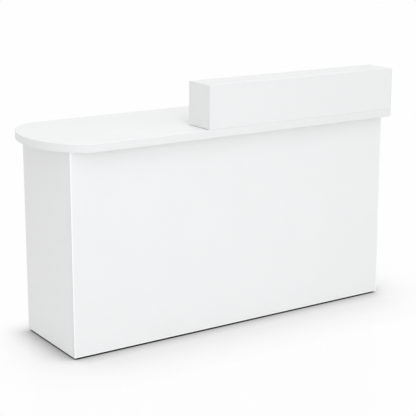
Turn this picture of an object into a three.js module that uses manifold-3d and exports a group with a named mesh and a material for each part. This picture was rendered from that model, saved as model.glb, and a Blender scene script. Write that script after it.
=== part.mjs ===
// Reception desk in white board: a closed counter with a rounded worktop, a raised box (the riser)
// on its right half, shelves on the staff side and levelling feet.
// Millimetres. X runs along the length, Y from the customer's side to the staff side, Z up.
// The origin is on the floor, under the middle of the worktop.
import * as THREE from 'three';
import { mergeVertices } from 'three/addons/utils/BufferGeometryUtils.js';
import Module from 'manifold-3d';

// Fits
const seam = 0.3; // gap between pieces that meet
const shelfClearance = 1; // each side of a loose shelf

// Boards and worktop
const boardThickness = 18;
const worktopLength = 1805;
const worktopDepth = 620;
const worktopThickness = 36;
const worktopHeight = 950; // surface above the floor
const endBulge = 198; // run of the half ellipse at the left end
const edgingThickness = 2;
const edgeRadius = 1.5; // eased outer edges of the edging
const edgeSteps = 2;
const curveSteps = 28; // steps in a quarter of the rounded end

// Carcass, set in from the worktop's edges
const leftOverhang = 86;
const rightOverhang = 8;
const frontOverhang = 58;
const rearOverhang = 102;
const railHeight = 80;

// Adjustable shelves and their pins
const shelfSetback = 20; // from the carcass's rear edge
const shelfHeight = 425; // underside above the floor
const holePitch = 32;
const holesPerRow = 5;
const holeEdgeDistance = 37; // row of holes to the shelf's edge
const pinRadius = 2.5;
const pinWeb = 2; // board left between holes drilled from both faces
const pinEndGap = 1; // behind the pin in its hole
const tongueReach = 12;
const tongueWidth = 10;
const tongueThickness = 6;

// Riser on the worktop
const riserLength = 1060;
const riserDepth = 168;
const riserHeight = 200;
const dowelRadius = 4;
const dowelLength = 32;
const dowelInWorktop = 14;
const dowelInset = 45; // dowel to the end of the board that it locates

// Angle brackets under the worktop
const bracketLeg = 40;
const bracketWidth = 34;
const bracketThickness = 2.5;
const bracketInset = 95; // bracket to the carcass's front and rear
const screwHoleRadius = 2.5;
const screwHoleFromTip = 12;
const screwHoleSpacing = 18;

// Levelling feet
const footInset = 45; // foot to the carcass's outer faces
const padRadius = 15;
const padHeight = 4.5;
const padFloor = 1.5; // under the stud
const padRimRadius = 12;
const padChamfer = 1;
const studRadius = 4;
const studBelowBoardTop = 2;
const collarAcrossFlats = 13;
const collarHeight = 2;
const homeGap = 0.7; // collar to T-nut with the foot screwed in
const flangeRadius = 11;
const flangeThickness = 1.2;
const barrelRadius = 5.2;
const barrelBelowBoardTop = 6;
const roundSteps = 20; // sides of a turned piece
const holeSteps = 10; // sides of a pin or a screw hole

// Heights above the floor
const panelBottom = padHeight + collarHeight + homeGap + flangeThickness + 2 * seam;
const bottomBoardTop = panelBottom + boardThickness;
const worktopUnderside = worktopHeight - worktopThickness;
const panelTop = worktopUnderside - seam;
const riserBottom = worktopHeight + seam;
const riserTop = worktopHeight + riserHeight;

// Outlines in plan
const worktopRight = worktopLength / 2;
const worktopLeft = -worktopLength / 2;
const worktopFront = -worktopDepth / 2;
const worktopRear = worktopDepth / 2;
const carcassLeft = worktopLeft + leftOverhang;
const carcassRight = worktopRight - rightOverhang;
const carcassFront = worktopFront + frontOverhang;
const carcassRear = worktopRear - rearOverhang;
const carcassMiddle = (carcassLeft + carcassRight) / 2;
const frontPanelBack = carcassFront + boardThickness;
const riserLeft = worktopRight - riserLength;
const riserRear = worktopFront + riserDepth;
const riserFrontBack = worktopFront + boardThickness;

// The two bays between the end panels and the divider: inner faces in X
const bays = {
  left: [carcassLeft + boardThickness, carcassMiddle - boardThickness / 2],
  right: [carcassMiddle + boardThickness / 2, carcassRight - boardThickness],
};

const wasm = await Module();
wasm.setup();

const desk = new THREE.Group();

// Finishes
const whiteBoard = () => new THREE.MeshStandardMaterial({ color: 0xf1f2f2, roughness: 0.45, metalness: 0 });
const whiteEdging = () => new THREE.MeshStandardMaterial({ color: 0xeeefef, roughness: 0.38, metalness: 0 });
const zincSteel = () => new THREE.MeshStandardMaterial({ color: 0xb9bcbf, roughness: 0.35, metalness: 1 });
const beech = () => new THREE.MeshStandardMaterial({ color: 0xc9a678, roughness: 0.7, metalness: 0 });
const blackPlastic = () => new THREE.MeshStandardMaterial({ color: 0x232425, roughness: 0.6, metalness: 0 });

function addPiece(parent, name, geometry, material, position = [0, 0, 0]) {
  const mesh = new THREE.Mesh(geometry, material);
  mesh.name = name;
  mesh.position.set(...position);
  parent.add(mesh);
  return mesh;
}

// A closed geometry as a solid that can be joined and cut
function toSolid(geometry) {
  const bare = geometry.clone();
  bare.deleteAttribute('normal');
  bare.deleteAttribute('uv');
  const merged = mergeVertices(bare, 1e-4);
  const corners = Array.from(merged.index.array);
  const kept = [];
  for (let i = 0; i < corners.length; i += 3) {
    const [a, b, c] = corners.slice(i, i + 3);
    if (a !== b && b !== c && c !== a) kept.push(a, b, c);
  }
  return new wasm.Manifold(new wasm.Mesh({
    numProp: 3,
    vertProperties: new Float32Array(merged.attributes.position.array),
    triVerts: new Uint32Array(kept),
  }));
}

function toGeometry(solid) {
  const mesh = solid.getMesh();
  const geometry = new THREE.BufferGeometry();
  geometry.setAttribute('position', new THREE.BufferAttribute(mesh.vertProperties, 3));
  geometry.setIndex(new THREE.BufferAttribute(mesh.triVerts, 1));
  geometry.computeVertexNormals();
  return geometry;
}

function cut(geometry, cutters) {
  const solid = cutters.reduce((left, cutter) => left.subtract(toSolid(cutter)), toSolid(geometry));
  return toGeometry(solid);
}

// A round bar along 'x' or 'z', from one place on its axis to another, both measured from (x, y, z)
function roundBar(axis, radius, from, to, [x, y, z], steps = roundSteps) {
  const bar = new THREE.CylinderGeometry(radius, radius, to - from, steps);
  bar.translate(0, (from + to) / 2, 0);
  if (axis === 'x') bar.rotateZ(-Math.PI / 2);
  if (axis === 'z') bar.rotateX(Math.PI / 2);
  return bar.translate(x, y, z);
}

// A board between two corners, with holes given as round bars in desk coordinates
function addBoard(parent, name, low, high, holes = []) {
  const size = high.map((value, i) => value - low[i]);
  const middle = high.map((value, i) => (value + low[i]) / 2);
  const box = new THREE.BoxGeometry(...size);
  const cutters = holes.map((hole) => hole.translate(...middle.map((value) => -value)));
  const geometry = cutters.length ? cut(box, cutters) : box;
  return addPiece(parent, name, geometry, whiteBoard(), middle);
}

// Worktop: straight on three sides, half an ellipse at the left end
function worktopOutline(inset) {
  const outline = new THREE.Shape();
  const bulgeCentre = worktopLeft + endBulge;
  outline.moveTo(worktopRight - inset, worktopFront + inset);
  outline.lineTo(worktopRight - inset, worktopRear - inset);
  outline.lineTo(bulgeCentre, worktopRear - inset);
  outline.absellipse(
    bulgeCentre, 0, endBulge - inset, worktopRear - inset, Math.PI / 2, 1.5 * Math.PI, false, 0,
  );
  outline.closePath();
  return outline;
}

// Dowels that locate the riser, as [name, x, y], standing in the middle of the boards that they enter
const dowels = [
  ['left_end_front', riserLeft + boardThickness / 2, riserFrontBack + dowelInset],
  ['left_end_rear', riserLeft + boardThickness / 2, riserRear - dowelInset],
  ['right_end_front', worktopRight - boardThickness / 2, riserFrontBack + dowelInset],
  ['right_end_rear', worktopRight - boardThickness / 2, riserRear - dowelInset],
  ['front_left', riserLeft + riserLength / 3, worktopFront + boardThickness / 2],
  ['front_right', riserLeft + (2 * riserLength) / 3, worktopFront + boardThickness / 2],
];
const dowelBottom = worktopHeight - dowelInWorktop;
const dowelTop = dowelBottom + dowelLength;

function dowelHoles(prefix) {
  const [low, high] = [dowelBottom - seam, dowelTop + seam];
  return dowels
    .filter(([name]) => name.startsWith(prefix))
    .map(([, x, y]) => roundBar('z', dowelRadius + seam, low, high, [x, y, 0]));
}

function addWorktop() {
  const worktop = new THREE.Group();
  worktop.position.z = worktopUnderside;
  const extrusion = { depth: worktopThickness, bevelEnabled: false, curveSegments: curveSteps };
  const core = new THREE.ExtrudeGeometry(worktopOutline(edgingThickness + seam), extrusion);
  const holes = dowelHoles('').map((hole) => hole.translate(0, 0, -worktopUnderside));
  addPiece(worktop, 'worktop', cut(core, holes), whiteBoard());
  addPiece(worktop, 'worktop_edging', edgingGeometry(), whiteEdging());
  desk.add(worktop);
}

// Edging: the whole outline with eased edges, less the place of the board inside it
function edgingGeometry() {
  const outside = new THREE.ExtrudeGeometry(worktopOutline(0), {
    depth: worktopThickness - 2 * edgeRadius,
    bevelEnabled: true,
    bevelThickness: edgeRadius,
    bevelSize: edgeRadius,
    bevelOffset: -edgeRadius,
    bevelSegments: edgeSteps,
    curveSegments: curveSteps,
  });
  outside.translate(0, 0, edgeRadius);
  const inside = new THREE.ExtrudeGeometry(worktopOutline(edgingThickness), {
    depth: worktopThickness + 2 * seam,
    bevelEnabled: false,
    curveSegments: curveSteps,
  });
  inside.translate(0, 0, -seam);
  return cut(outside, [inside]);
}

// Rows of shelf pin holes in one face of an upright board; direction is +1 where the bay lies at
// greater X than the face
const shelfFront = frontPanelBack + shelfClearance;
const shelfRear = carcassRear - shelfSetback;
const pinRows = { front: shelfFront + holeEdgeDistance, rear: shelfRear - holeEdgeDistance };
const pinHoleDepth = (boardThickness - pinWeb) / 2;
const pinAxisHeight = shelfHeight - seam - tongueThickness / 2;

function pinHoles(faceX, direction) {
  const holes = [];
  for (const y of Object.values(pinRows)) {
    for (let i = 0; i < holesPerRow; i += 1) {
      const z = pinAxisHeight + (i - (holesPerRow - 1) / 2) * holePitch;
      const ends = [-direction * pinHoleDepth, direction * seam].sort((a, b) => a - b);
      holes.push(roundBar('x', pinRadius + seam, ...ends, [faceX, y, z], holeSteps));
    }
  }
  return holes;
}

// Feet stand under the ends and under the divider, near the front and the rear
const footPlaces = [];
const footColumns = {
  left: carcassLeft + footInset,
  middle: carcassMiddle,
  right: carcassRight - footInset,
};
const footRows = { front: carcassFront + footInset, rear: carcassRear - footInset };
for (const [column, x] of Object.entries(footColumns)) {
  for (const [row, y] of Object.entries(footRows)) footPlaces.push([`${row}_${column}`, x, y]);
}

// Carcass: the front panel runs the full length, and the ends stand behind it
function addCarcass() {
  const carcass = new THREE.Group();
  const [leftBay, rightBay] = [bays.left, bays.right];
  const endFront = frontPanelBack + seam;
  addBoard(
    carcass, 'front_panel', [carcassLeft, carcassFront, panelBottom], [carcassRight, frontPanelBack, panelTop],
  );
  addBoard(
    carcass, 'left_end_panel', [carcassLeft, endFront, panelBottom], [leftBay[0], carcassRear, panelTop],
    pinHoles(leftBay[0], 1),
  );
  addBoard(
    carcass, 'right_end_panel', [rightBay[1], endFront, panelBottom], [carcassRight, carcassRear, panelTop],
    pinHoles(rightBay[1], -1),
  );
  const boardSpan = [panelBottom - seam, bottomBoardTop + seam];
  const footHole = ([, x, y]) => roundBar('z', barrelRadius + seam, ...boardSpan, [x, y, 0]);
  addBoard(
    carcass, 'bottom_board', [leftBay[0] + seam, frontPanelBack + seam, panelBottom],
    [rightBay[1] - seam, carcassRear, bottomBoardTop], footPlaces.map(footHole),
  );
  addBoard(
    carcass, 'centre_divider', [leftBay[1], frontPanelBack + seam, bottomBoardTop + seam],
    [rightBay[0], carcassRear, panelTop], [...pinHoles(leftBay[1], -1), ...pinHoles(rightBay[0], 1)],
  );
  for (const [side, [from, to]] of Object.entries(bays)) {
    addBoard(
      carcass, `rear_rail_${side}`, [from + seam, carcassRear - boardThickness, panelTop - railHeight],
      [to - seam, carcassRear, panelTop],
    );
    addBoard(
      carcass, `adjustable_shelf_${side}`, [from + shelfClearance, shelfFront, shelfHeight],
      [to - shelfClearance, shelfRear, shelfHeight + boardThickness],
    );
  }
  desk.add(carcass);
}

// Shelf pin: a round shank in the board and a flat tongue under the shelf, pointing along +X
function shelfPinGeometry() {
  const shankEnd = pinEndGap - pinHoleDepth;
  const shank = roundBar('x', pinRadius, shankEnd, tongueReach / 2, [0, 0, 0], holeSteps);
  const tongue = new THREE.BoxGeometry(tongueReach, tongueWidth, tongueThickness);
  tongue.translate(seam + tongueReach / 2, 0, 0);
  return toGeometry(toSolid(shank).add(toSolid(tongue)));
}

function addShelfPins() {
  const geometry = shelfPinGeometry();
  for (const [side, faces] of Object.entries(bays)) {
    for (const [row, y] of Object.entries(pinRows)) {
      faces.forEach((faceX, i) => {
        const name = `shelf_pin_${side}_bay_${row}_${i ? 'right' : 'left'}`;
        const pin = addPiece(desk, name, geometry, zincSteel(), [faceX, y, pinAxisHeight]);
        pin.rotation.z = i ? Math.PI : 0;
      });
    }
  }
}

// Angle bracket: one leg down the board at X = 0, the other out along +X under the worktop
function bracketGeometry() {
  const profile = new THREE.Shape();
  profile.moveTo(0, 0);
  profile.lineTo(bracketLeg, 0);
  profile.lineTo(bracketLeg, -bracketThickness);
  profile.lineTo(bracketThickness, -bracketThickness);
  profile.lineTo(bracketThickness, -bracketLeg);
  profile.lineTo(0, -bracketLeg);
  profile.closePath();
  const angle = new THREE.ExtrudeGeometry(profile, { depth: bracketWidth, bevelEnabled: false });
  angle.rotateX(Math.PI / 2).translate(0, bracketWidth / 2, 0);
  const holes = [];
  const along = bracketLeg - screwHoleFromTip;
  const through = bracketThickness + seam;
  for (const y of [-screwHoleSpacing / 2, screwHoleSpacing / 2]) {
    holes.push(roundBar('z', screwHoleRadius, -through, seam, [along, y, 0], holeSteps));
    holes.push(roundBar('x', screwHoleRadius, -seam, through, [0, y, -along], holeSteps));
  }
  return cut(angle, holes);
}

function addBrackets() {
  const geometry = bracketGeometry();
  const [front, rear] = [carcassFront + bracketInset, carcassRear - bracketInset];
  const bayMiddle = ([from, to]) => (from + to) / 2;
  const toRight = 0;
  const toRear = Math.PI / 2;
  const toLeft = Math.PI;
  const places = [
    ['left_end_front', bays.left[0] + seam, front, toRight],
    ['left_end_rear', bays.left[0] + seam, rear, toRight],
    ['right_end_front', bays.right[1] - seam, front, toLeft],
    ['right_end_rear', bays.right[1] - seam, rear, toLeft],
    ['divider_left', bays.left[1] - seam, (front + rear) / 2, toLeft],
    ['divider_right', bays.right[0] + seam, (front + rear) / 2, toRight],
    ['front_left_bay', bayMiddle(bays.left), frontPanelBack + seam, toRear],
    ['front_right_bay', bayMiddle(bays.right), frontPanelBack + seam, toRear],
  ];
  for (const [name, x, y, turn] of places) {
    const position = [x, y, worktopUnderside - seam];
    addPiece(desk, `worktop_bracket_${name}`, geometry, zincSteel(), position).rotation.z = turn;
  }
}

// Riser: the front runs the full length, the ends stand behind it and the top lies between them
function addRiser() {
  const riser = new THREE.Group();
  addBoard(
    riser, 'riser_front', [riserLeft, worktopFront, riserBottom], [worktopRight, riserFrontBack, riserTop],
    dowelHoles('front'),
  );
  addBoard(
    riser, 'riser_left_end', [riserLeft, riserFrontBack + seam, riserBottom],
    [riserLeft + boardThickness, riserRear, riserTop], dowelHoles('left_end'),
  );
  addBoard(
    riser, 'riser_right_end', [worktopRight - boardThickness, riserFrontBack + seam, riserBottom],
    [worktopRight, riserRear, riserTop], dowelHoles('right_end'),
  );
  addBoard(
    riser, 'riser_top', [riserLeft + boardThickness + seam, riserFrontBack + seam, riserTop - boardThickness],
    [worktopRight - boardThickness - seam, riserRear, riserTop],
  );
  for (const [name, x, y] of dowels) {
    const bar = roundBar('z', dowelRadius, dowelBottom, dowelTop, [0, 0, 0]);
    addPiece(riser, `riser_dowel_${name}`, bar, beech(), [x, y, 0]);
  }
  desk.add(riser);
}

// A turned piece from points of radius and height
function turned(points) {
  const profile = points.map(([radius, height]) => new THREE.Vector2(radius, height));
  return new THREE.LatheGeometry(profile, roundSteps).rotateX(Math.PI / 2);
}

// Levelling foot: the pad carries the stud, whose collar takes a spanner and whose thread runs in
// the T-nut under the bottom board
function padGeometry() {
  const socket = studRadius + seam;
  return turned([
    [0, 0], [padRadius - padChamfer, 0], [padRadius, padChamfer], [padRadius, padHeight / 2],
    [padRimRadius, padHeight], [socket, padHeight], [socket, padFloor], [0, padFloor],
  ]);
}

function studGeometry() {
  const studTop = bottomBoardTop - studBelowBoardTop;
  const shaft = roundBar('z', studRadius, padFloor + seam, studTop, [0, 0, 0]);
  const collarRadius = collarAcrossFlats / 2 / Math.cos(Math.PI / 6);
  const collar = new THREE.CylinderGeometry(collarRadius, collarRadius, collarHeight, 6);
  collar.rotateX(Math.PI / 2).translate(0, 0, padHeight + seam + collarHeight / 2);
  return toGeometry(toSolid(shaft).add(toSolid(collar)));
}

function teeNutGeometry() {
  const bore = studRadius + seam;
  const flangeTop = panelBottom - seam;
  const flangeBottom = flangeTop - flangeThickness;
  const barrelTop = bottomBoardTop - barrelBelowBoardTop;
  return turned([
    [bore, flangeBottom], [flangeRadius, flangeBottom], [flangeRadius, flangeTop],
    [barrelRadius, flangeTop], [barrelRadius, barrelTop], [bore, barrelTop], [bore, flangeBottom],
  ]);
}

function addFeet() {
  const [pad, stud, teeNut] = [padGeometry(), studGeometry(), teeNutGeometry()];
  for (const [name, x, y] of footPlaces) {
    const foot = new THREE.Group();
    foot.position.set(x, y, 0);
    addPiece(foot, `foot_pad_${name}`, pad, blackPlastic());
    addPiece(foot, `foot_stud_${name}`, stud, zincSteel());
    addPiece(foot, `foot_tee_nut_${name}`, teeNut, zincSteel());
    desk.add(foot);
  }
}

addCarcass();
addShelfPins();
addBrackets();
addWorktop();
addRiser();
addFeet();

export default desk;
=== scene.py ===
# Looks of a white reception desk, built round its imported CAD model.
# Metres. +X runs along the desk, +Y from the visitor's side to the staff side, +Z up.
import math

import bmesh
import bpy
import numpy as np
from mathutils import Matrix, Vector
from mathutils.geometry import delaunay_2d_cdt


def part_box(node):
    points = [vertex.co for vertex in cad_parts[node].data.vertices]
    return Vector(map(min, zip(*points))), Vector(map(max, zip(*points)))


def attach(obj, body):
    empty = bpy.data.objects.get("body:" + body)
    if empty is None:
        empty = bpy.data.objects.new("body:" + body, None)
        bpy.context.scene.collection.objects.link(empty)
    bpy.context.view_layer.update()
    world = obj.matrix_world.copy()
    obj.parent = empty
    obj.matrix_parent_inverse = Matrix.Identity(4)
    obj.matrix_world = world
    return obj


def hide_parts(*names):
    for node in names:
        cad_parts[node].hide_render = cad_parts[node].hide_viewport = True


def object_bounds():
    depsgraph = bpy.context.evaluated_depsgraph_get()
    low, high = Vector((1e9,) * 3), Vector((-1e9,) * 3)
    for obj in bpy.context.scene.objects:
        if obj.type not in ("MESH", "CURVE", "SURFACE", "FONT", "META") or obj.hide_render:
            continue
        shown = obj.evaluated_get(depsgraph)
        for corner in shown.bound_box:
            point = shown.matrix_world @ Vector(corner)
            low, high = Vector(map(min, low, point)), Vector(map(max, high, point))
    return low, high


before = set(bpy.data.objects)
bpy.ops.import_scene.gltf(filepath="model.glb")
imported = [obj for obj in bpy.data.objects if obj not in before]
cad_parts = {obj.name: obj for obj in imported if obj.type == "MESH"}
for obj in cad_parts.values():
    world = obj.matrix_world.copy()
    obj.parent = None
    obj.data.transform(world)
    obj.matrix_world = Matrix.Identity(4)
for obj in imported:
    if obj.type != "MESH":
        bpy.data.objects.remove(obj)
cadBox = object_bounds()  # the CAD model's own box, before any piece is added
scene = bpy.context.scene
mm = 0.001


# Camera: a long lens a little above eye height, off the rounded end of the visitor's side
photoView = {
    "place": (-2.999, -4.597, 1.892),
    "heading": 56.55,  # degrees from +X towards +Y
    "tilt": 12.11,  # degrees below the horizon
    "lens": 102.8,  # mm
    "sensor": 36,  # mm, its width
    "shift": -0.10,  # upright, in picture widths
}


def addCamera():
    data = bpy.data.cameras.new("photo_camera")
    data.lens = photoView["lens"]
    data.sensor_width = photoView["sensor"]
    data.shift_y = photoView["shift"]
    camera = bpy.data.objects.new("photo_camera", data)
    camera.location = photoView["place"]
    turn = math.radians(photoView["heading"] - 90)
    camera.rotation_euler = (math.radians(90 - photoView["tilt"]), 0, turn)
    scene.collection.objects.link(camera)
    scene.camera = camera


addCamera()
print("camera set")


# Materials. Where a roughness is a pair of values, a pattern runs from the one to the other.
colourA, colourB, colourOut = 6, 7, 2  # a Mix node's colour sockets, by number because their names repeat
fromTo = ("To Min", "To Max")  # a Map Range node's sockets for such a pair


def linear(hexColour):
    # sRGB hex to linear red, green, blue, alpha
    srgb = np.array([int(hexColour[i:i + 2], 16) for i in (1, 3, 5)]) / 255
    low, high = srgb / 12.92, ((srgb + 0.055) / 1.055) ** 2.4
    return (*np.where(srgb <= 0.04045, low, high), 1.0)


def addNode(tree, kind, settings={}, links={}):
    # One node with its settings (its own values or its sockets') and the outputs linked into it
    node = tree.nodes.new(kind)
    for key, value in settings.items():
        if isinstance(key, str) and hasattr(node, key):
            setattr(node, key, value)
        else:
            node.inputs[key].default_value = value
    for key, output in links.items():
        tree.links.new(output, node.inputs[key])
    return node


def newMaterial(name):
    material = bpy.data.materials.new(name)
    material.use_nodes = True
    tree = material.node_tree
    tree.nodes.clear()
    place = addNode(tree, "ShaderNodeTexCoord").outputs["Object"]
    return material, tree, place


def finishMaterial(tree, settings, links):
    shader = addNode(tree, "ShaderNodeBsdfPrincipled", settings, links)
    addNode(tree, "ShaderNodeOutputMaterial", links={"Surface": shader.outputs[0]})


# Melamine-faced chipboard: resin paper pressed against a finely pebbled plate. It gives a soft satin
# sheen, a white that hardly varies, and raw brown chips inside a drilled hole. The riser's boards are
# painted a shade greyer: painted shade that darkens the whole riser.
melamine = {
    "white": "#f3f3f3",
    "shade": "#f0f0f0",
    # painted shade: the riser's boards are drawn in this greyer white
    "paintedShadeGrey": "#eeeeee",
    "pebble": 2.4 * mm,  # about 0.6 mm on the real board, drawn coarser so that it shows
    "pebbleDepth": 0.012 * mm,
    "roughness": (0.42, 0.54),
    "ior": 1.5,
    "specular": 0.4,
    "cloud": 260 * mm,  # slow change of white across a board
    "chipLight": "#c9ab80",
    "chipDark": "#7d5f3c",
    "chip": 1.6 * mm,
}


def whiteMelamine():
    m = melamine
    material, tree, place = newMaterial("white_melamine_pearl")
    cloud = addNode(tree, "ShaderNodeTexNoise", {"Scale": 1 / m["cloud"], "Detail": 2.0}, {"Vector": place})
    white = addNode(tree, "ShaderNodeMix",
                    {"data_type": "RGBA", colourA: linear(m["shade"]), colourB: linear(m["white"])},
                    {0: cloud.outputs["Fac"]})
    chips = addNode(tree, "ShaderNodeTexVoronoi", {"Scale": 1 / m["chip"]}, {"Vector": place})
    raw = addNode(tree, "ShaderNodeMix",
                  {"data_type": "RGBA", colourA: linear(m["chipDark"]), colourB: linear(m["chipLight"])},
                  {0: chips.outputs["Distance"]})
    # painted shade: faces marked for it take the greyer white
    greyer = addNode(tree, "ShaderNodeAttribute", {"attribute_name": "paintedShadeGrey"})
    paintedShadeMix = addNode(tree, "ShaderNodeMix", {"data_type": "RGBA", colourB: linear(m["paintedShadeGrey"])},
                    {0: greyer.outputs["Fac"], colourA: white.outputs[colourOut]})
    drilled = addNode(tree, "ShaderNodeAttribute", {"attribute_name": "rawCore"})
    colour = addNode(tree, "ShaderNodeMix", {"data_type": "RGBA"},
                     {0: drilled.outputs["Fac"], colourA: paintedShadeMix.outputs[colourOut],
                      colourB: raw.outputs[colourOut]})
    pebbles = addNode(tree, "ShaderNodeTexNoise", {"Scale": 1 / m["pebble"], "Detail": 3.0},
                      {"Vector": place})
    sheen = addNode(tree, "ShaderNodeMapRange", dict(zip(fromTo, m["roughness"])),
                    {0: pebbles.outputs["Fac"]})
    bump = addNode(tree, "ShaderNodeBump", {"Distance": m["pebbleDepth"]},
                   {"Height": pebbles.outputs["Fac"]})
    finishMaterial(tree, {"IOR": m["ior"], "Specular IOR Level": m["specular"]},
                   {"Base Color": colour.outputs[colourOut], "Roughness": sheen.outputs[0],
                    "Normal": bump.outputs[0]})
    return material


# ABS edge band: extruded, a shade greyer and glossier than the boards, with the scraper's faint marks. The
# grey is partly painted shade. Marked faces along some edges are painted whiter: a painted highlight.
edgeBandFinish = {
    # partly painted shade: the band is drawn a shade greyer than the boards
    "white": "#eeeeee",
    "shade": "#ebebeb",
    # painted highlight: the white of the band's marked edge faces
    "paintedHighlight": "#fdfdfd",
    "mark": 5.0 * mm,
    "markDepth": 0.008 * mm,
    "roughness": (0.28, 0.38),
    "ior": 1.53,
}


def whiteEdgeBand():
    m = edgeBandFinish
    material, tree, place = newMaterial("white_abs_extruded_band")
    marks = addNode(tree, "ShaderNodeTexNoise", {"Scale": 1 / m["mark"], "Detail": 2.0}, {"Vector": place})
    white = addNode(tree, "ShaderNodeMix",
                    {"data_type": "RGBA", colourA: linear(m["shade"]), colourB: linear(m["white"])},
                    {0: marks.outputs["Fac"]})
    # painted highlight: faces marked for it take the whiter colour
    highlightMask = addNode(tree, "ShaderNodeAttribute", {"attribute_name": "paintedHighlight"})
    colour = addNode(tree, "ShaderNodeMix", {"data_type": "RGBA", colourB: linear(m["paintedHighlight"])},
                     {0: highlightMask.outputs["Fac"], colourA: white.outputs[colourOut]})
    gloss = addNode(tree, "ShaderNodeMapRange", dict(zip(fromTo, m["roughness"])),
                    {0: marks.outputs["Fac"]})
    bump = addNode(tree, "ShaderNodeBump", {"Distance": m["markDepth"]},
                   {"Height": marks.outputs["Fac"]})
    finishMaterial(tree, {"IOR": m["ior"]},
                   {"Base Color": colour.outputs[colourOut], "Roughness": gloss.outputs[0],
                    "Normal": bump.outputs[0]})
    return material


# Zinc-plated steel, clear passivated: bright grey with a bluish cast that drifts across the sheet
zincFinish = {
    "grey": "#c9cbcd",
    "blue": "#b7bcc2",
    "drift": 9 * mm,
    "crystal": 0.9 * mm,
    "crystalDepth": 0.01 * mm,
    "roughness": (0.26, 0.44),
}


def zincPlatedSteel():
    m = zincFinish
    material, tree, place = newMaterial("zinc_plated_steel")
    drift = addNode(tree, "ShaderNodeTexNoise", {"Scale": 1 / m["drift"], "Detail": 3.0}, {"Vector": place})
    colour = addNode(tree, "ShaderNodeMix",
                     {"data_type": "RGBA", colourA: linear(m["grey"]), colourB: linear(m["blue"])},
                     {0: drift.outputs["Fac"]})
    crystals = addNode(tree, "ShaderNodeTexVoronoi", {"Scale": 1 / m["crystal"]}, {"Vector": place})
    dull = addNode(tree, "ShaderNodeMapRange", dict(zip(fromTo, m["roughness"])),
                   {0: crystals.outputs["Distance"]})
    bump = addNode(tree, "ShaderNodeBump", {"Distance": m["crystalDepth"]},
                   {"Height": crystals.outputs["Distance"]})
    finishMaterial(tree, {"Metallic": 1.0},
                   {"Base Color": colour.outputs[colourOut], "Roughness": dull.outputs[0],
                    "Normal": bump.outputs[0]})
    return material


# Polyamide foot pad: moulded in a spark-eroded tool, matt near-black with a fine even grain
padFinish = {
    "black": "#1f2021",
    "worn": "#2c2d2e",
    "grain": 0.8 * mm,
    "grainDepth": 0.03 * mm,
    "roughness": 0.6,
    "ior": 1.53,
}


def blackPolyamide():
    m = padFinish
    material, tree, place = newMaterial("black_polyamide_moulded")
    grain = addNode(tree, "ShaderNodeTexNoise", {"Scale": 1 / m["grain"], "Detail": 2.0}, {"Vector": place})
    colour = addNode(tree, "ShaderNodeMix",
                     {"data_type": "RGBA", colourA: linear(m["black"]), colourB: linear(m["worn"])},
                     {0: grain.outputs["Fac"]})
    bump = addNode(tree, "ShaderNodeBump", {"Distance": m["grainDepth"]},
                   {"Height": grain.outputs["Fac"]})
    finishMaterial(tree, {"IOR": m["ior"], "Roughness": m["roughness"]},
                   {"Base Color": colour.outputs[colourOut], "Normal": bump.outputs[0]})
    return material


# Turned beech dowel: pale straw with short darker flecks along the grain, bare and dry
beechFinish = {
    "straw": "#d2b186",
    "fleck": "#a97c4f",
    "grainLength": 14 * mm,
    "grainWidth": 0.7 * mm,
    "roughness": (0.65, 0.8),
    "ior": 1.5,
}


def turnedBeech():
    m = beechFinish
    material, tree, place = newMaterial("beech_turned_bare")
    across, along = 1 / m["grainWidth"], 1 / m["grainLength"]
    stretched = addNode(tree, "ShaderNodeMapping", {"Scale": (across, across, along)}, {"Vector": place})
    flecks = addNode(tree, "ShaderNodeTexNoise", {"Scale": 1.0, "Detail": 4.0},
                     {"Vector": stretched.outputs["Vector"]})
    colour = addNode(tree, "ShaderNodeMix",
                     {"data_type": "RGBA", colourA: linear(m["straw"]), colourB: linear(m["fleck"])},
                     {0: flecks.outputs["Fac"]})
    dry = addNode(tree, "ShaderNodeMapRange", dict(zip(fromTo, m["roughness"])),
                  {0: flecks.outputs["Fac"]})
    finishMaterial(tree, {"IOR": m["ior"]},
                   {"Base Color": colour.outputs[colourOut], "Roughness": dry.outputs[0]})
    return material


# Polystyrene cover cap: moulded against a polished tool, glossy white with a trace of flow marks
capFinish = {
    "white": "#f4f5f4",
    "flow": "#edeeed",
    "mark": 6 * mm,
    "roughness": (0.2, 0.3),
    "ior": 1.59,
}


def whitePolystyrene():
    m = capFinish
    material, tree, place = newMaterial("white_polystyrene_moulded")
    flow = addNode(tree, "ShaderNodeTexNoise", {"Scale": 1 / m["mark"], "Detail": 2.0}, {"Vector": place})
    white = addNode(tree, "ShaderNodeMix",
                    {"data_type": "RGBA", colourA: linear(m["flow"]), colourB: linear(m["white"])},
                    {0: flow.outputs["Fac"]})
    gloss = addNode(tree, "ShaderNodeMapRange", dict(zip(fromTo, m["roughness"])),
                    {0: flow.outputs["Fac"]})
    finishMaterial(tree, {"IOR": m["ior"]},
                   {"Base Color": white.outputs[colourOut], "Roughness": gloss.outputs[0]})
    return material


boardWhite = whiteMelamine()
bandWhite = whiteEdgeBand()
zinc = zincPlatedSteel()
padBlack = blackPolyamide()
beech = turnedBeech()
capWhite = whitePolystyrene()
print("materials:", len(bpy.data.materials))


# Surfaces: each is (points, faces), where faces is one array of rows of point numbers, or a list of such
# arrays once several surfaces are joined
merging = 1e-6  # metres: points nearer than this are one
sharpEdge = 35  # degrees: shading breaks where faces meet at more than this


def circle(steps):
    # Points evenly round the unit circle
    turn = np.linspace(0, 2 * math.pi, steps, endpoint=False)
    return np.column_stack([np.cos(turn), np.sin(turn)])


def quarterCircle(steps):
    # Points on the unit circle from +X to +Y
    turn = np.linspace(0, math.pi / 2, steps + 1)
    return np.column_stack([np.cos(turn), np.sin(turn)])


def atHeight(flat, height):
    # Points (x, y) that all get the same z
    return np.column_stack([flat, np.full(len(flat), height)])


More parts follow.
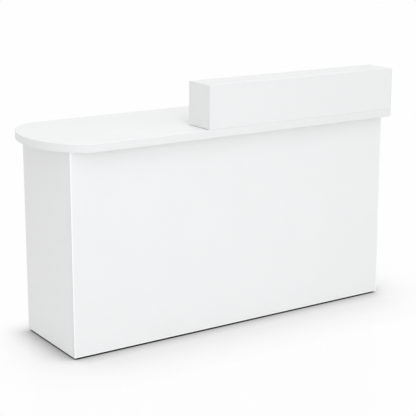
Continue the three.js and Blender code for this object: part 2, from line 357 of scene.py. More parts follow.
def tube(rings, closed=False):
    # Quads between neighbours on rows of rings; a closed tube also runs from its last ring to its first
    rows, columns = rings.shape[:2]
    r = np.arange(rows if closed else rows - 1)[:, None]
    c = np.arange(columns)[None, :]
    nextR, nextC = (r + 1) % rows, (c + 1) % columns
    corners = [r * columns + c, r * columns + nextC, nextR * columns + nextC, nextR * columns + c]
    return rings, np.stack(corners, -1).reshape(-1, 4)


def disc(ring):
    # One flat face over a ring
    return ring, np.arange(len(ring))[None]


def joined(*parts):
    # Several surfaces as one: each one's point numbers start after those of the surfaces before it
    points, faces, count = [], [], 0
    for partPoints, partFaces in parts:
        flat = np.asarray(partPoints).reshape(-1, 3)
        points.append(flat)
        faces += [block + count for block in (partFaces if isinstance(partFaces, list) else [partFaces])]
        count += len(flat)
    return np.concatenate(points), faces


def moved(surface, offset):
    return surface[0] + np.asarray(offset), surface[1]


def capped(rings):
    # A tube with a flat face over its first ring and one over its last
    return joined(tube(rings), disc(rings[0]), disc(rings[-1]))


def newPiece(name, surface, material, body="desk", replaced=(), marks={}):
    # marks: face values that the material reads, by name
    points, blocks = joined(surface)
    faces = [row for block in blocks for row in block.tolist()]
    mesh = bpy.data.meshes.new(name)
    mesh.from_pydata(points.tolist(), [], faces)
    for mark, values in marks.items():
        mesh.attributes.new(mark, "FLOAT", "FACE").data.foreach_set("value", values.astype(np.float32))
    shape = bmesh.new()
    shape.from_mesh(mesh)
    bmesh.ops.remove_doubles(shape, verts=shape.verts, dist=merging)
    bmesh.ops.dissolve_degenerate(shape, edges=shape.edges, dist=merging)
    bmesh.ops.recalc_face_normals(shape, faces=shape.faces)
    shape.to_mesh(mesh)
    shape.free()
    mesh.shade_smooth()
    mesh.set_sharp_from_angle(angle=math.radians(sharpEdge))
    mesh.materials.append(material)
    piece = bpy.data.objects.new(name, mesh)
    scene.collection.objects.link(piece)
    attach(piece, body)
    if replaced:
        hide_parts(*replaced)


def dress(node, material):
    # The finish of a CAD node that keeps its own shape
    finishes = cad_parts[node].data.materials
    finishes.clear()
    finishes.append(material)


def lathe(profile, steps):
    # Radius and height turned round Z: x = r cos t, y = r sin t
    r, z = np.array(profile, float).T
    x, y = circle(steps).T
    points = np.stack([np.outer(r, x), np.outer(r, y), np.repeat(z[:, None], steps, 1)], -1)
    return tube(points)


def sweptRing(outlineAt, profile):
    # A closed profile carried round a closed outline: each profile point is the outline moved in by its
    # inset, at its height
    rings = [atHeight(outlineAt(inset), height) for inset, height in profile]
    return tube(np.stack(rings), closed=True)


def bandProfile(thickness, ease, whites, steps, low, high):
    # Cross-section of an edge band as (inset, height): a rectangle whose two outer corners, the low and
    # the high one, are quarter circles with a short flat beside each so that the faces stay flat. Also
    # how far each of its sides is painted whiter, a painted highlight.
    arc = 1 - quarterCircle(steps)[:, ::-1]
    flatEnd = 1.1  # where the short flat ends, in radii from the corner
    corner = np.concatenate([[[flatEnd, 0]], arc, [[0, flatEnd]]]) * ease
    half = np.concatenate([[[thickness, 0]], corner])
    lower, upper = half + [0, low], half[::-1] * [1, -1] + [0, high]
    white = np.repeat([whites[0], 0, whites[1], 0], [steps + 2, 3, steps + 2, 1])
    return np.concatenate([lower, upper]), white


def addBand(name, outlineAt, profile, white, axes, replaced=(), whiteSides={}):
    # whiteSides: how far the band is painted whiter along a whole side, by that side's number in the
    # outline: a painted highlight
    points, faces = sweptRing(outlineAt, profile)
    white = np.repeat(white[:, None], points.shape[1], 1)
    for side, share in whiteSides.items():
        white[:, side] = share
    newPiece(name, (onAxes(points, axes), faces), bandWhite, replaced=replaced,
             marks={"paintedHighlight": white.ravel()})


def pierced(outline, holes, steps, creases=()):
    # Flat face inside a convex outline, less round holes (x, y, radius): Delaunay triangles between the
    # outline and the circles, without those inside a circle. Creases are pairs of outline points that an
    # edge must join.
    loops = [np.asarray(outline)] + [circle(steps) * radius + (x, y) for x, y, radius in holes]
    edges, count = list(creases), 0
    for loop in loops:
        here = np.arange(len(loop))
        edges += np.column_stack([here + count, (here + 1) % len(loop) + count]).tolist()
        count += len(loop)
    flat = [Vector(point) for point in np.concatenate(loops)]
    vertices, _, triangles, *_ = delaunay_2d_cdt(flat, edges, [], 0, merging / 10)
    vertices, triangles = np.array([v[:] for v in vertices]), np.array(triangles)
    middle = vertices[triangles].mean(1)
    kept = np.ones(len(triangles), bool)
    for x, y, radius in holes:
        kept &= np.hypot(*(middle - (x, y)).T) > radius * math.cos(math.pi / steps)
    return vertices, triangles[kept]


# Boards: melamine-faced chipboard with an ABS band round its edges. A board keeps its CAD size, band
# included, apart from the riser's joints. A hair groove runs where the band meets the face.
board = {
    "band": 3.0 * mm,
    # a band that shows white is wider and painted whiter along one face: a painted highlight
    "shownBand": 6.0 * mm,  # round a board whose band shows white
    "ease": 0.6 * mm,  # rounding along the band's edges
    "corner": 1.2 * mm,  # rounding where two bands meet
    "groove": 0.1 * mm,
    "arris": 0.12 * mm,  # tiny chamfer on the face's own edge
    "easeSteps": 4,
    "cornerSteps": 4,
    "holeSteps": 20,
}


def boardAxes(low, high):
    # The two axes in the board's plane, then the one through it
    through = int(np.argmin(high - low))
    return [axis for axis in range(3) if axis != through] + [through]


def onAxes(points, axes):
    # Board coordinates (along, across, through) put back on X, Y, Z
    placed = np.empty_like(points)
    placed[..., axes] = points
    return placed


def boardOutline(low, high, inset):
    # Rounded rectangle moved in: each corner's centre plus what the inset leaves of its radius
    turn = np.linspace(0, math.pi / 2, board["cornerSteps"] + 1)
    quarter = np.arange(4)[:, None] * math.pi / 2
    arc = np.stack([np.cos(turn + quarter), np.sin(turn + quarter)], -1)
    corner = np.array([[1, 1], [-1, 1], [-1, -1], [1, -1]])[:, None]
    left = board["corner"] - inset
    reach = arc * left if left > 0 else np.broadcast_to(corner * left, arc.shape)
    half = (high - low) / 2 - board["corner"]
    return ((low + high) / 2 + corner * half + reach).reshape(-1, 2)


def boardCore(low, high, holes, band):
    # Slab inside the band with drilled holes, each (x, y, radius, from, to) in board coordinates. Also how
    # many of its faces, the last ones, are raw chipboard inside the holes.
    floor, roof = low[2], high[2]
    setIn, arris = band + board["groove"], board["arris"]
    rim = []
    for inset, height in ((arris, floor), (0, floor + arris), (0, roof - arris), (arris, roof)):
        rim.append(atHeight(boardOutline(low[:2], high[:2], setIn + inset), height))
    parts = [tube(np.stack(rim))]
    for level, outline in ((floor, rim[0][:, :2]), (roof, rim[-1][:, :2])):
        mouths = [hole[:3] for hole in holes if hole[3] <= level <= hole[4]]
        flat, triangles = pierced(outline, mouths, board["holeSteps"])
        parts.append((atHeight(flat, level), triangles))
    rawCount = 0
    for x, y, radius, start, end in holes:
        start, end = max(start, floor), min(end, roof)
        loop = circle(board["holeSteps"]) * radius + (x, y)
        wall = np.stack([atHeight(loop, z) for z in (start, end)])
        parts.append(tube(wall))
        rawCount += len(loop)
        if start > floor or end < roof:  # a blind hole has a bottom
            parts.append(disc(wall[0] if start > floor else wall[1]))
            rawCount += 1
    return joined(*parts), rawCount


def addBoard(node, holes=(), shown=None, greyer=False, lowMoved=(0, 0, 0), topWhite=0):
    # holes: ((x, y, z) on its axis, radius, start and end along the board's thickness), desk coordinates
    # shown: the face on which the band's edge is painted whiter, a painted highlight; 0 at the lower
    # coordinate and 1 at the higher
    # lowMoved: how far its low corner is moved from the CAD board's
    # topWhite: how far the band along an upright board's upper edge is painted whiter, a painted highlight
    low, high = (np.array(corner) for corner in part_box(node))
    low += lowMoved
    axes = boardAxes(low, high)
    inPlane = [(*np.array(place)[axes[:2]], radius, start, end) for place, radius, start, end in holes]
    low, high = low[axes], high[axes]
    band = board["band"] if shown is None else board["shownBand"]
    (points, faces), rawCount = boardCore(low, high, inPlane, band)
    count = sum(len(block) for block in faces)
    marks = {"rawCore": np.arange(count) >= count - rawCount, "paintedShadeGrey": np.full(count, greyer)}
    newPiece(node + "_board", (onAxes(points, axes), faces), boardWhite, replaced=(node,),
             marks=marks)
    whites = [float(side == shown) for side in (0, 1)]
    section = bandProfile(band, board["ease"], whites, board["easeSteps"], low[2], high[2])
    topSide = board["cornerSteps"]  # the side from the outline's first corner to its second
    addBand(node + "_edge_band", lambda inset: boardOutline(low[:2], high[:2], inset), *section, axes,
            whiteSides={topSide: topWhite} if topWhite else {})


# Rows of holes for the 5 mm shelf pins, at the usual 32 mm pitch round the height of the pins in use
pinHole = {
    "radius": 2.8 * mm,
    "depth": 8.0 * mm,
    "pitch": 32 * mm,
    "perRow": 5,
}


def pinHoles(faceX, towardsBay):
    # Blind holes in the upright face at faceX; towardsBay is +1 where the bay is at greater X
    bottom = faceX - towardsBay * pinHole["depth"]
    start, end = sorted((faceX, bottom))
    steps = np.arange(pinHole["perRow"]) - (pinHole["perRow"] - 1) / 2
    holes = []
    for row in ("front", "rear"):
        low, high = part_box(f"shelf_pin_left_bay_{row}_left")
        middle = (low + high) / 2
        for z in middle.z + steps * pinHole["pitch"]:
            holes.append(((faceX, middle.y, z), pinHole["radius"], start, end))
    return holes


footPlaces = [f"{row}_{column}" for column in ("left", "middle", "right") for row in ("front", "rear")]
footHole = {"radius": 5.5 * mm, "clear": 1 * mm}


def footHoles():
    # Holes right through the bottom board for the T-nuts
    low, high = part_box("bottom_board")
    holes = []
    for place in footPlaces:
        nutLow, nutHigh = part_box(f"foot_tee_nut_{place}")
        span = (low.z - footHole["clear"], high.z + footHole["clear"])
        holes.append(((nutLow + nutHigh) / 2, footHole["radius"], *span))
    return holes


def addCarcass():
    addBoard("front_panel", shown=0)
    addBoard("left_end_panel", pinHoles(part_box("left_end_panel")[1].x, 1))
    addBoard("right_end_panel", pinHoles(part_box("right_end_panel")[0].x, -1))
    low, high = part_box("centre_divider")
    addBoard("centre_divider", pinHoles(low.x, -1) + pinHoles(high.x, 1))
    addBoard("bottom_board", footHoles())
    for side in ("left", "right"):
        addBoard(f"rear_rail_{side}")
        addBoard(f"adjustable_shelf_{side}")


# Riser: a box without a back. Its front is pressed down on the worktop, and its top against the front,
# whose upper edge is painted a little whiter: a painted highlight. Its ends hang clear of the worktop,
# which leaves a dark line under them.
riser = {
    "pressed": 0.2 * mm,  # how far these two joints are tighter than the CAD model's
    # painted highlight: how far the front's upper edge is painted whiter
    "edgeWhite": 0.25,
    "shadowGap": 1.7 * mm,  # how far the ends' joint is wider
}


def addRiser():
    # the riser's boards carry the painted shade, a greyer white
    addBoard("riser_front", greyer=True, lowMoved=(0, 0, -riser["pressed"]), topWhite=riser["edgeWhite"])
    addBoard("riser_top", greyer=True, lowMoved=(0, -riser["pressed"], 0))
    for side in ("left", "right"):
        addBoard(f"riser_{side}_end", greyer=True, lowMoved=(0, 0, riser["shadowGap"]))
    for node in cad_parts:
        if node.startswith("riser_dowel"):
            dress(node, beech)


addCarcass()
addRiser()


# Worktop: the CAD board keeps its shape; its band is a thick ABS strip bent round the half ellipse
worktop = {
    "bulge": 198 * mm,  # run of the half ellipse
    "band": 2.0 * mm,
    "ease": 1.5 * mm,
    # painted highlight: the band's upper edge takes half of the whiter colour
    "whites": (0.0, 0.5),  # how far its lower and its upper edge are whitened
    "easeSteps": 5,
    "curveSteps": 120,
    "cornerSteps": 4,
    "corner": 1.5 * mm,
}


def worktopOutline(inset):
    # Two rounded right-hand corners, then a half ellipse from the rear round the left end to the front
    low, high = (np.array(corner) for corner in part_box("worktop_edging"))
    left = max(worktop["corner"] - inset, 0)
    reach = max(worktop["corner"], inset)
    arc = left * quarterCircle(worktop["cornerSteps"])
    rear = (high[0] - reach, high[1] - reach) + arc
    front = (high[0] - reach, low[1] + reach) + arc[::-1] * [1, -1]
    t = np.linspace(math.pi / 2, 1.5 * math.pi, worktop["curveSteps"] + 1)
    radii = (worktop["bulge"] - inset, (high[1] - low[1]) / 2 - inset)
    middle = (low[0] + worktop["bulge"], (low[1] + high[1]) / 2)
    end = middle + radii * np.column_stack([np.cos(t), np.sin(t)])
    return np.concatenate([front, rear, end])


def addWorktop():
    low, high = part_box("worktop_edging")
    w = worktop
    section = bandProfile(w["band"], w["ease"], w["whites"], w["easeSteps"], low.z, high.z)
    addBand("worktop_edge_band", worktopOutline, *section, [0, 1, 2], ("worktop_edging",))
    dress("worktop", boardWhite)


addWorktop()
print("worktop banded")


# Shelf pin: a turned shank with a flat spoon under the shelf
spoonPin = {
    "length": 12 * mm,
    "shankRadius": 2.5 * mm,
    "shankChamfer": 0.5 * mm,
    "shankSteps": 20,
    "noseStart": 0.35,  # share of the spoon's length before its end rounds off
    "nosePower": 3,  # how squarely it rounds off
    "underRise": 2.6 * mm,  # how far the underside climbs towards the tip
    "square": 5.0,  # power of the superellipse across the spoon
    "crowding": 0.7,  # power that sets the sections closer towards the tip
    "steps": 14,
    "around": 28,
}


def spoonSurface(length, halfWidth, halfHeight):
    # Superellipse sections along X: the width follows a rounded nose, the top stays level and the
    # underside climbs with the square of the distance
    s = np.linspace(0, 1, spoonPin["steps"]) ** spoonPin["crowding"]
    nose = np.clip((s - spoonPin["noseStart"]) / (1 - spoonPin["noseStart"]), 0, 1)
    width = halfWidth * np.sqrt(np.maximum(1 - nose ** spoonPin["nosePower"], 0))
    bottom = -halfHeight + spoonPin["underRise"] * s ** 2
    x, y = circle(spoonPin["around"]).T
    power = 2 / spoonPin["square"]
    across, up = np.sign(x) * np.abs(x) ** power, np.sign(y) * np.abs(y) ** power
    middle, half = (halfHeight + bottom) / 2, (halfHeight - bottom) / 2
    points = np.stack([np.repeat(length * s[:, None], len(x), 1), np.outer(width, across),
                       middle[:, None] + np.outer(half, up)], -1)
    return joined(tube(points), disc(points[0]))


def addShelfPins():
    p = spoonPin
    for node in [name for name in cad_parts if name.startswith("shelf_pin_")]:
        low, high = (np.array(corner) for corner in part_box(node))
        towards = -1 if node.endswith("right") else 1
        tip, back = (high[0], low[0]) if towards > 0 else (low[0], high[0])
        heel = tip - towards * p["length"]
        spoon = spoonSurface(p["length"], (high[1] - low[1]) / 2, (high[2] - low[2]) / 2)
        shankLength = abs(heel - back)
        r, c = p["shankRadius"], p["shankChamfer"]
        profile = [(0, 0), (r - c, 0), (r, c), (r, shankLength), (0, shankLength)]
        turnedShank, shankFaces = lathe(profile, p["shankSteps"])
        shank = turnedShank[..., [2, 0, 1]] - [shankLength, 0, 0], shankFaces
        points, faces = joined(spoon, shank)
        centre = np.array([heel, (low[1] + high[1]) / 2, (low[2] + high[2]) / 2])
        newPiece("spoon_pin" + node[len("shelf_pin"):], (points * [towards, 1, 1] + centre, faces), zinc,
                 replaced=(node,))


addShelfPins()
print("shelf pins in")


# Angle bracket: a steel strip bent to a right angle, two screw holes in each leg
bracket = {
    "thickness": 2.5 * mm,
    "insideBend": 2.0 * mm,
    "bendSteps": 6,
    "corner": 6 * mm,
    "cornerSteps": 6,
    "holeRadius": 2.5 * mm,
    "holeFromTip": 12 * mm,
    "holeSpacing": 18 * mm,
    "holeSteps": 16,
}
# A pan head screw with a cross recess, one in each hole
screw = {
    "radius": 4.0 * mm,
    "height": 2.4 * mm,
    "rim": 0.8 * mm,
    "crossReach": 2.3 * mm,
    "crossWidth": 0.55 * mm,
    "crossDepth": 1.3 * mm,
    "crossSlope": 0.4,  # power by which its arms deepen towards the middle
    "firstRing": 0.08,  # share of the radius at the innermost ring
    "rings": 12,
    "around": 48,
}


def stripRuns(leg):
    # Radius of the bend's outer face, then how far that face runs straight along a leg and round the bend
    outer = bracket["thickness"] + bracket["insideBend"]
    return outer, leg - outer, outer * math.pi / 2


def bendStrip(u, v, h, leg):
    # Strip coordinates (along u, across v, depth h below the outer face) to the bent bracket: a straight
    # leg along X, a quarter turn, a straight leg down Z
    outer, straight, arc = stripRuns(leg)
    turn = np.clip((u - straight) / outer, 0, math.pi / 2)
    x = outer - (outer - h) * np.sin(turn) + np.maximum(straight - u, 0)
    z = -outer + (outer - h) * np.cos(turn) - np.maximum(u - straight - arc, 0)
    return np.stack([x, v, z], -1)


def bracketSurface(leg, width):
    # Two bent sheets a thickness apart, joined by walls round the rim and round each hole
    b = bracket
    _, straight, arc = stripRuns(leg)
    total, half = 2 * straight + arc, width / 2
    quarter = b["corner"] * quarterCircle(b["cornerSteps"])
    bends = straight + np.linspace(0, arc, b["bendSteps"] + 1)
    inset = (total - b["corner"], half - b["corner"])
    topSide = np.column_stack([bends[::-1], np.full(len(bends), half)])
    rightTop = np.array(inset) + quarter
    leftTop = (b["corner"], inset[1]) + quarter[::-1] * [-1, 1]
    upper = np.concatenate([rightTop, topSide, leftTop])
    rim = np.concatenate([upper, upper[::-1] * [1, -1]])
    places = [(u, v, b["holeRadius"]) for u in (b["holeFromTip"], total - b["holeFromTip"])
              for v in (-b["holeSpacing"] / 2, b["holeSpacing"] / 2)]
    bendPoints = np.arange(len(rightTop), len(rightTop) + len(bends))
    creases = np.column_stack([bendPoints, len(rim) - 1 - bendPoints]).tolist()
    flat, triangles = pierced(rim, places, b["holeSteps"], creases)
    sheets = [(bendStrip(*flat.T, h, leg), triangles) for h in (0, b["thickness"])]
    walls = []
    for loop in [rim] + [circle(b["holeSteps"]) * r + (u, v) for u, v, r in places]:
        wall = np.stack([bendStrip(*loop.T, h, leg) for h in (0, b["thickness"])])
        walls.append(tube(wall))
    return joined(*sheets, *walls)


def screwSurface():
    # Head as a height over radius and angle: a low dome, less a cross whose arms deepen towards the middle,
    # closed by its flat seat
    s = screw
    r = np.concatenate([[0], np.linspace(s["firstRing"], 1, s["rings"])])[:, None] * s["radius"]
    turn = np.linspace(0, 2 * math.pi, s["around"], endpoint=False)[None, :]
    x, y = r * np.cos(turn), r * np.sin(turn)
    dome = s["rim"] + (s["height"] - s["rim"]) * np.sqrt(np.maximum(1 - (r / s["radius"]) ** 2, 0))
    arm = np.minimum(np.abs(x), np.abs(y)) < s["crossWidth"]
    depth = s["crossDepth"] * np.clip(1 - r / s["crossReach"], 0, 1) ** s["crossSlope"]
    top = np.stack([x, y, dome - np.where(arm, depth, 0)], -1)
    seat = np.stack([x[-1], y[-1], np.zeros(s["around"])], -1)
    rows = np.concatenate([top, seat[None]])
    return joined(tube(rows), disc(seat))


def addBrackets():
    b = bracket
    head, headFaces = screwSurface()
    for node in [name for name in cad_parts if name.startswith("worktop_bracket_")]:
        place = node[len("worktop_bracket_"):]
        low, high = (np.array(corner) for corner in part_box(node))
        middle = (low + high) / 2
        leg = high[2] - low[2]
        # along: the way the upper leg points; across: at right angles to it
        if place.startswith("front"):
            along, across, corner = (0, 1, 0), (-1, 0, 0), (middle[0], low[1], high[2])
        elif place.startswith("left_end") or place == "divider_right":
            along, across, corner = (1, 0, 0), (0, 1, 0), (low[0], middle[1], high[2])
        else:
            along, across, corner = (-1, 0, 0), (0, -1, 0), (high[0], middle[1], high[2])
        axes = np.array([along, across, (0, 0, 1)], float)
        width = (high - low) @ np.abs(axes[1])
        points, faces = bracketSurface(leg, width)
        strip = (points @ axes + corner, faces)
        newPiece(f"angle_bracket_{place}", strip, zinc, replaced=(node,))
        screws = []
        reach = leg - b["holeFromTip"]
        for v in (-b["holeSpacing"] / 2, b["holeSpacing"] / 2):
            under = head * [1, 1, -1] + (reach, v, -b["thickness"])
            beside = head[:, [2, 1, 0]] + (b["thickness"], v, -reach)
            screws += [(under @ axes + corner, headFaces), (beside @ axes + corner, headFaces)]
        newPiece(f"bracket_screws_{place}", joined(*screws), zinc)


addBrackets()
print("brackets screwed")


# Levelling foot: moulded pad, M8 stud with a hexagon collar, T-nut in the bottom board
foot = {
    "padRadius": 15.0 * mm,
    "padRim": 12.0 * mm,
    "padHeight": 4.5 * mm,
    "padFloor": 1.5 * mm,
    "sole": 0.4 * mm,  # hollow under the pad
    "soleInset": 4.0 * mm,  # from the pad's edge in to the hollow
    "soleSlope": 0.4 * mm,
    "toe": 1.0 * mm,  # rounding at the pad's foot
    "toeSteps": 5,
    "neckPower": 1.4,  # how slowly the neck starts to rise
    "neckSteps": 8,
    "socket": 4.3 * mm,
    "socketChamfer": 0.4 * mm,
    "studRadius": 4.0 * mm,
    "pitch": 1.25 * mm,
    "threadDepth": 0.72 * mm,
    "plainEnd": 0.9,  # share of that depth at which the plain ends lie
    "perPitch": 8,
    "around": 36,
    "collarFlats": 13 * mm,
    "collarBottom": 4.8 * mm,
    "collarTop": 6.8 * mm,
    "collarFace": 0.1 * mm,  # how far its end faces reach past the flats
    "collarCone": 1.6,  # run over rise of the cone that takes off its corners
    "collarSteps": 72,
    "collarRows": 9,
    "flangeRadius": 11 * mm,
    "flange": 1.2 * mm,
    "flangeLip": 0.3 * mm,  # chamfer round it
    "barrelRadius": 5.2 * mm,
}


def padSurface():
    # Turned section: hollow sole, rounded foot, a neck that sweeps in to the rim, a socket for the stud
    f = foot
    arc = quarterCircle(f["toeSteps"])[:, ::-1] * [1, -1]  # from straight down to straight out
    toe = (f["padRadius"] - f["toe"], f["toe"]) + f["toe"] * arc
    s = np.linspace(0, 1, f["neckSteps"])
    neckLow = f["padHeight"] / 2
    run, rise = f["padRadius"] - f["padRim"], f["padHeight"] - neckLow
    neck = np.column_stack([f["padRadius"] - run * s, neckLow + rise * s ** f["neckPower"]])
    hollow, mouth = f["padRadius"] - f["soleInset"], f["socketChamfer"]
    sole = [(0, f["sole"]), (hollow, f["sole"]), (hollow + f["soleSlope"], 0)]
    socket = [(f["socket"] + mouth, f["padHeight"]), (f["socket"], f["padHeight"] - mouth),
              (f["socket"], f["padFloor"]), (0, f["padFloor"])]
    return lathe(np.concatenate([sole, toe, neck, socket]), f["around"])


def threadSurface(bottom, top):
    # Radius falls from the crest by a triangle wave of (height / pitch - turn), which winds the thread;
    # it runs out to a plain end at both ends
    f = foot
    rows = int(round((top - bottom) / f["pitch"] * f["perPitch"])) + 1
    z = np.linspace(bottom, top, rows)[:, None]
    turn = np.linspace(0, 1, f["around"], endpoint=False)[None, :]
    wave = np.abs(((z / f["pitch"] - turn) % 1) * 2 - 1)
    fade = np.clip(np.minimum(z - bottom, top - z) / f["pitch"], 0, 1)
    r = f["studRadius"] - f["threadDepth"] * (wave * fade + (1 - fade) * f["plainEnd"])
    points = np.stack([r * np.cos(turn * 2 * math.pi), r * np.sin(turn * 2 * math.pi),
                       np.broadcast_to(z, r.shape)], -1)
    return capped(points)


def collarSurface():
    # Hexagon radius over the turn, held back near the top and bottom by a cone: a chamfered nut
    f = foot
    turn = np.linspace(0, 2 * math.pi, f["collarSteps"], endpoint=False)[None, :]
    hexagon = f["collarFlats"] / 2 / np.cos((turn % (math.pi / 3)) - math.pi / 6)
    z = np.linspace(f["collarBottom"], f["collarTop"], f["collarRows"])[:, None]
    edge = np.minimum(z - f["collarBottom"], f["collarTop"] - z)
    r = np.minimum(hexagon, f["collarFlats"] / 2 + f["collarFace"] + edge * f["collarCone"])
    points = np.stack([r * np.cos(turn), r * np.sin(turn), np.broadcast_to(z, r.shape)], -1)
    return capped(points)


def teeNutSurface(bottom, top):
    # Turned section of flange and barrel round the bore, closed on itself
    f = foot
    lip = f["flangeLip"]
    flangeTop = bottom + f["flange"]
    section = [(f["socket"], bottom), (f["flangeRadius"] - lip, bottom), (f["flangeRadius"], bottom + lip),
               (f["flangeRadius"], flangeTop - lip), (f["flangeRadius"] - lip, flangeTop),
               (f["barrelRadius"], flangeTop), (f["barrelRadius"], top), (f["socket"], top),
               (f["socket"], bottom)]
    return lathe(section, f["around"])


def addFeet():
    for place in footPlaces:
        low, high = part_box(f"foot_stud_{place}")
        nutLow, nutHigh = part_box(f"foot_tee_nut_{place}")
        centre = ((low.x + high.x) / 2, (low.y + high.y) / 2, 0)
        body = f"foot_{place}"
        newPiece(f"levelling_pad_{place}", moved(padSurface(), centre), padBlack, body,
                 replaced=(f"foot_pad_{place}",))
        stud = joined(threadSurface(low.z, high.z), collarSurface())
        newPiece(f"threaded_stud_{place}", moved(stud, centre), zinc, body,
                 replaced=(f"foot_stud_{place}",))
        newPiece(f"tee_nut_{place}", moved(teeNutSurface(nutLow.z, nutHigh.z), centre), zinc,
                 replaced=(f"foot_tee_nut_{place}",))


addFeet()
print("feet in:", len(footPlaces))


# Cover caps over the cam fittings that pull the bottom board to the end panels
camCap = {
    "radius": 8.5 * mm,
    "height": 1.4 * mm,
    "rim": 0.8 * mm,
    "rimSteps": 4,
    "dish": 0.5 * mm,
    "dishStart": 0.85,  # share of the radius
    "dishSteps": 6,
    "around": 32,
    "fromEnd": 34 * mm,
    "fromEdge": 90 * mm,
}


def camCapSurface():
    # Low turned button with a rounded rim and a dished middle
    c = camCap
    rim = (c["radius"], c["height"]) + c["rim"] * (quarterCircle(c["rimSteps"]) - 1)
    s = np.linspace(c["dishStart"], 0, c["dishSteps"])
    dish = np.column_stack([c["radius"] * s, c["height"] - c["dish"] * (1 - s ** 2)])
    return lathe(np.concatenate([[(0, 0), (c["radius"], 0)], rim, dish]), c["around"])


def addCamCaps():
    low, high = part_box("bottom_board")
    for column, x in (("left", low.x + camCap["fromEnd"]), ("right", high.x - camCap["fromEnd"])):
        for row, y in (("front", low.y + camCap["fromEdge"]), ("rear", high.y - camCap["fromEdge"])):
            cap = moved(camCapSurface(), (x, y, high.z))
            newPiece(f"cam_cap_{row}_{column}", cap, capWhite)


addCamCaps()
print("cam caps on")


# Studio: a white floor that runs out of sight, a white surround and three soft boxes
studio = {
    "floorHalf": 60.0,
    "floorBounce": 0.9,  # floor colour for the light that it sends back
    "shadeSamples": 16,
    "underneath": 0.58,  # openness below which the floor sinks into the dark under the desk
    "polish": 0.05,  # share of the floor that mirrors
    "polishBlur": 0.2,
    "surround": 0.753,
}
# Shades that the desk throws on the floor: how near it must be (metres), the share of white that it takes
# away, and the way that the floor looks out for it
floorShade = {
    "contact": (0.08, 0.38, (0, 0, 1)),  # the line along its edge
    "around": (0.25, 0.24, (0, 0, 1)),  # the soft one on all sides
    "ahead": (0.40, 0.145, (0, 0.85, 0.5)),  # more of it on the visitor's side
    "lee": (0.14, 0.57, (0.2, -0.85, 0.5)),  # the deep one on the side away from the light
}
# Soft boxes: where each hangs, how wide it is, its power in watts and its white. All face the desk.
softBoxes = {
    "front_soft_box": ((-2.2, -6.0, 3.2), 3.0, 60.0, "#fafcff"),
    "high_soft_box": ((-1.5, -4.0, 6.0), 3.0, 61.0, "#fafcff"),
    "overhead_soft_box": ((0.0, -0.5, 8.0), 4.0, 60.0, "#fcfeff"),
}


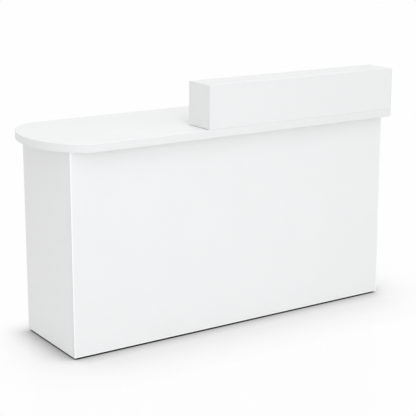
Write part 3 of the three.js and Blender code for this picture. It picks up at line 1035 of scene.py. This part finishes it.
def addFloor():
    # Seen, the floor is white less the shade that the desk's nearness throws on it; for all other light
    # it is plain matt
    s = studio
    half = s["floorHalf"]
    mesh = bpy.data.meshes.new("studio_floor")
    corners = [(-half, -half, 0), (half, -half, 0), (half, half, 0), (-half, half, 0)]
    mesh.from_pydata(corners, [], [(0, 1, 2, 3)])
    material, tree, _ = newMaterial("white_studio_floor")
    shade = addNode(tree, "ShaderNodeMath", {0: 1.0, 1: 0.0})  # white, before any shade is taken off it
    for name, (reach, share, facing) in floorShade.items():
        out = addNode(tree, "ShaderNodeCombineXYZ", dict(zip("XYZ", facing)))
        free = addNode(tree, "ShaderNodeAmbientOcclusion",
                       {"samples": s["shadeSamples"], "Distance": reach}, {"Normal": out.outputs[0]})
        taken = addNode(tree, "ShaderNodeMapRange", dict(zip(fromTo, (share, 0.0))), {0: free.outputs["AO"]})
        shade = addNode(tree, "ShaderNodeMath", {"operation": "SUBTRACT"},
                        {0: shade.outputs[0], 1: taken.outputs[0]})
        if name == "contact":
            under = addNode(tree, "ShaderNodeMapRange",
                            {"interpolation_type": "SMOOTHSTEP", "From Max": s["underneath"]},
                            {0: free.outputs["AO"]})
    shade = addNode(tree, "ShaderNodeMath", {"operation": "MULTIPLY", "use_clamp": True},
                    {0: shade.outputs[0], 1: under.outputs[0]})
    white = addNode(tree, "ShaderNodeEmission", links={"Strength": shade.outputs[0]})
    mirror = addNode(tree, "ShaderNodeBsdfGlossy", {"Roughness": s["polishBlur"]})
    seen = addNode(tree, "ShaderNodeMixShader", {0: s["polish"]},
                   {1: white.outputs[0], 2: mirror.outputs[0]})
    matt = addNode(tree, "ShaderNodeBsdfDiffuse", {"Color": (s["floorBounce"],) * 3 + (1.0,)})
    path = addNode(tree, "ShaderNodeLightPath")
    eye = addNode(tree, "ShaderNodeMath", {"operation": "MAXIMUM"},
                  {0: path.outputs["Is Camera Ray"], 1: path.outputs["Is Glossy Ray"]})
    floorShader = addNode(tree, "ShaderNodeMixShader",
                          links={0: eye.outputs[0], 1: matt.outputs[0], 2: seen.outputs[0]})
    addNode(tree, "ShaderNodeOutputMaterial", links={"Surface": floorShader.outputs[0]})
    mesh.materials.append(material)
    floor = bpy.data.objects.new("studio_floor", mesh)
    scene.collection.objects.link(floor)


def addSurround():
    world = bpy.data.worlds.new("white_surround")
    world.use_nodes = True
    tree = world.node_tree
    tree.nodes.clear()
    path = addNode(tree, "ShaderNodeLightPath")
    glossy = addNode(tree, "ShaderNodeMath", {"operation": "MAXIMUM"},
                     {0: path.outputs["Is Camera Ray"], 1: path.outputs["Is Glossy Ray"]})
    seen = addNode(tree, "ShaderNodeMath", {"operation": "MAXIMUM"},
                   {0: glossy.outputs[0], 1: path.outputs["Is Transmission Ray"]})
    strength = addNode(tree, "ShaderNodeMapRange", dict(zip(fromTo, (studio["surround"], 1.0))),
                       {0: seen.outputs[0]})
    glow = addNode(tree, "ShaderNodeBackground", {"Color": (1, 1, 1, 1)}, {"Strength": strength.outputs[0]})
    addNode(tree, "ShaderNodeOutputWorld", links={"Surface": glow.outputs[0]})
    scene.world = world


def addSoftBoxes():
    for name, (place, size, power, colour) in softBoxes.items():
        data = bpy.data.lights.new(name, "AREA")
        data.energy = power
        data.size = size
        data.color = linear(colour)[:3]
        lamp = bpy.data.objects.new(name, data)
        lamp.location = place
        middle = Vector((0, 0, cadBox[1][2] / 2))
        lamp.rotation_euler = (middle - lamp.location).to_track_quat("-Z", "Y").to_euler()
        lamp.visible_glossy = False  # only the white surround mirrors in the satin boards
        scene.collection.objects.link(lamp)


addFloor()
addSurround()
addSoftBoxes()
scene.view_settings.view_transform = "Standard"
print("studio lit")
